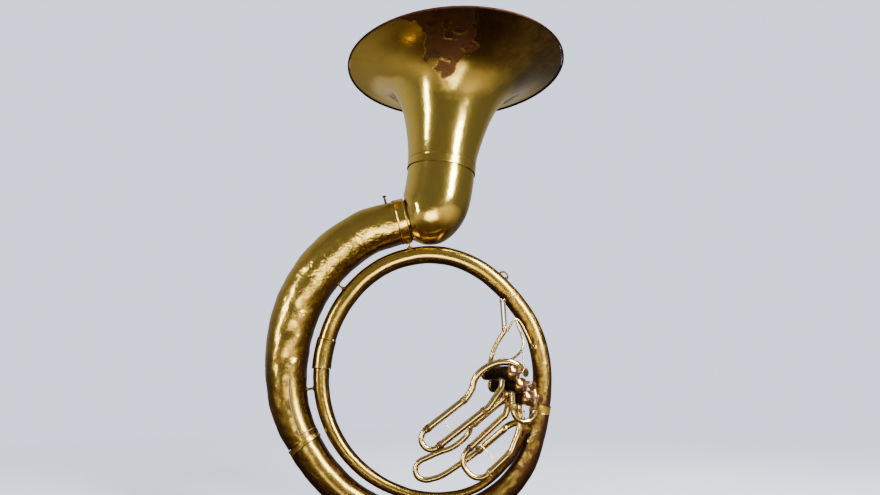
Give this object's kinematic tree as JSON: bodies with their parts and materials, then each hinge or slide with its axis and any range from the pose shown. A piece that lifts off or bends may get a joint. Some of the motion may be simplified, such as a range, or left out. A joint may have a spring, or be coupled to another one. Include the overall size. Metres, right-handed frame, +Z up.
{
  "type": "tuba",
  "caption": "Helicon-type brass tuba: conical tube in a ring worn on the shoulder, turning upward bell in a collar, piston valves with pull slides.",
  "frame": {"origin": "underside of the ring's top, where the instrument rests on the player's shoulder", "axes": "+Z up along the bell, +X across the ring towards the valves, -Y towards the viewer and the valves' finger buttons"},
  "size_m": [0.7359, 0.563, 1.1495],
  "materials": {
    "brass": "unlacquered, worn and dented, brown patina",
    "dark_brass": "dark brown patina",
    "nickel": "polished nickel silver, lightly worn",
    "spring_steel": "drawn wire"
  },
  "bodies": {
    "body": {"small_branch": "brass", "middle_branch": "brass", "large_branch": "brass", "bell_branch": "brass", "ferrule_small": "brass", "ferrule_middle": "brass", "ferrule_large": "brass", "guard_plate": "brass", "turn_stay_upper": "dark_brass", "turn_stay_lower": "dark_brass", "strap_lug": "dark_brass", "collar_socket": "brass", "collar_foot": "dark_brass", "valve_casing_1": "brass", "valve_casing_2": "brass", "valve_casing_3": "brass", "top_cap_1": "dark_brass", "top_cap_2": "dark_brass", "top_cap_3": "dark_brass", "bottom_cap_1": "brass", "bottom_cap_2": "brass", "bottom_cap_3": "brass", "knuckle_12": "brass", "knuckle_23": "brass", "first_branch_upper": "brass", "first_branch_lower": "brass", "second_branch_left": "brass", "second_branch_right": "brass", "third_branch_left": "brass", "third_branch_right": "brass", "tuning_branch_upper": "brass", "tuning_branch_lower": "brass", "receiver": "nickel", "leadpipe": "brass", "leadpipe_stay": "brass", "valve_brace": "brass", "lyre_socket": "nickel", "water_nipple": "brass", "water_saddle": "brass"},
    "bell": {"bell_elbow": "brass", "bell_flare": "brass", "bell_ferrule": "brass", "bell_rim": "dark_brass"},
    "first_slide_body": {"first_slide": "brass"},
    "second_slide_body": {"second_slide": "brass"},
    "third_slide_body": {"third_slide": "brass"},
    "tuning_slide_body": {"tuning_slide": "brass"},
    "screw_1": {"collar_screw_1": "dark_brass"},
    "screw_2": {"collar_screw_2": "dark_brass"},
    "screw_3": {"collar_screw_3": "dark_brass"},
    "water_key_body": {"water_key": "brass"},
    "piston_body_1": {"piston_1": "nickel", "finger_button_1": "dark_brass", "piston_spring_1": "spring_steel"},
    "piston_body_2": {"piston_2": "nickel", "finger_button_2": "dark_brass", "piston_spring_2": "spring_steel"},
    "piston_body_3": {"piston_3": "nickel", "finger_button_3": "dark_brass", "piston_spring_3": "spring_steel"}
  },
  "joints": [
    {"name": "bell_turn", "type": "hinge", "parent": "body", "child": "bell", "pos_m": [-0.0765, 0, 0.1085], "axis": [0.9703, 0, 0.2419], "range_deg": [0, 70]},
    {"name": "piston_press_1", "type": "slide", "parent": "body", "child": "piston_body_1", "axis": [-0.6402, 0.7682, 0], "range_m": [0, 0.017], "stiffness_N_per_m": 150, "springref_m": -0.03, "deforming": ["piston_spring_1"]},
    {"name": "piston_press_2", "type": "slide", "parent": "body", "child": "piston_body_2", "axis": [-0.6402, 0.7682, 0], "range_m": [0, 0.017], "stiffness_N_per_m": 150, "springref_m": -0.03, "deforming": ["piston_spring_2"]},
    {"name": "piston_press_3", "type": "slide", "parent": "body", "child": "piston_body_3", "axis": [-0.6402, 0.7682, 0], "range_m": [0, 0.017], "stiffness_N_per_m": 150, "springref_m": -0.03, "deforming": ["piston_spring_3"]},
    {"name": "first_slide_pull", "type": "slide", "parent": "body", "child": "first_slide_body", "axis": [-0.7986, 0, -0.6018], "range_m": [0, 0.08]},
    {"name": "second_slide_pull", "type": "slide", "parent": "body", "child": "second_slide_body", "axis": [0, 0, -1], "range_m": [0, 0.02]},
    {"name": "third_slide_pull", "type": "slide", "parent": "body", "child": "third_slide_body", "axis": [-0.7466, 0, -0.6652], "range_m": [0, 0.045]},
    {"name": "tuning_slide_pull", "type": "slide", "parent": "body", "child": "tuning_slide_body", "axis": [-0.7525, 0.2092, -0.6244], "range_m": [0, 0.018]},
    {"name": "collar_screw_turn_1", "type": "hinge", "parent": "body", "child": "screw_1", "pos_m": [-0.11848, 0, 0.15286], "axis": [-0.2419, 0, 0.9703], "range_deg": [0, 540]},
    {"name": "collar_screw_turn_2", "type": "hinge", "parent": "body", "child": "screw_2", "pos_m": [-0.06809, -0.04452, 0.07475], "axis": [0.1489, -0.788, -0.5974], "range_deg": [0, 540]},
    {"name": "collar_screw_turn_3", "type": "hinge", "parent": "body", "child": "screw_3", "pos_m": [-0.06809, 0.04452, 0.07475], "axis": [0.1489, 0.788, -0.5974], "range_deg": [0, 540]},
    {"name": "water_key_lift", "type": "hinge", "parent": "body", "child": "water_key_body", "pos_m": [0.22814, -0.02997, -0.39778], "axis": [-0.7282, 0.4512, 0.5158], "range_deg": [0, 25], "stiffness_Nm_per_rad": 0.08, "springref_deg": -28.65}
  ]
}
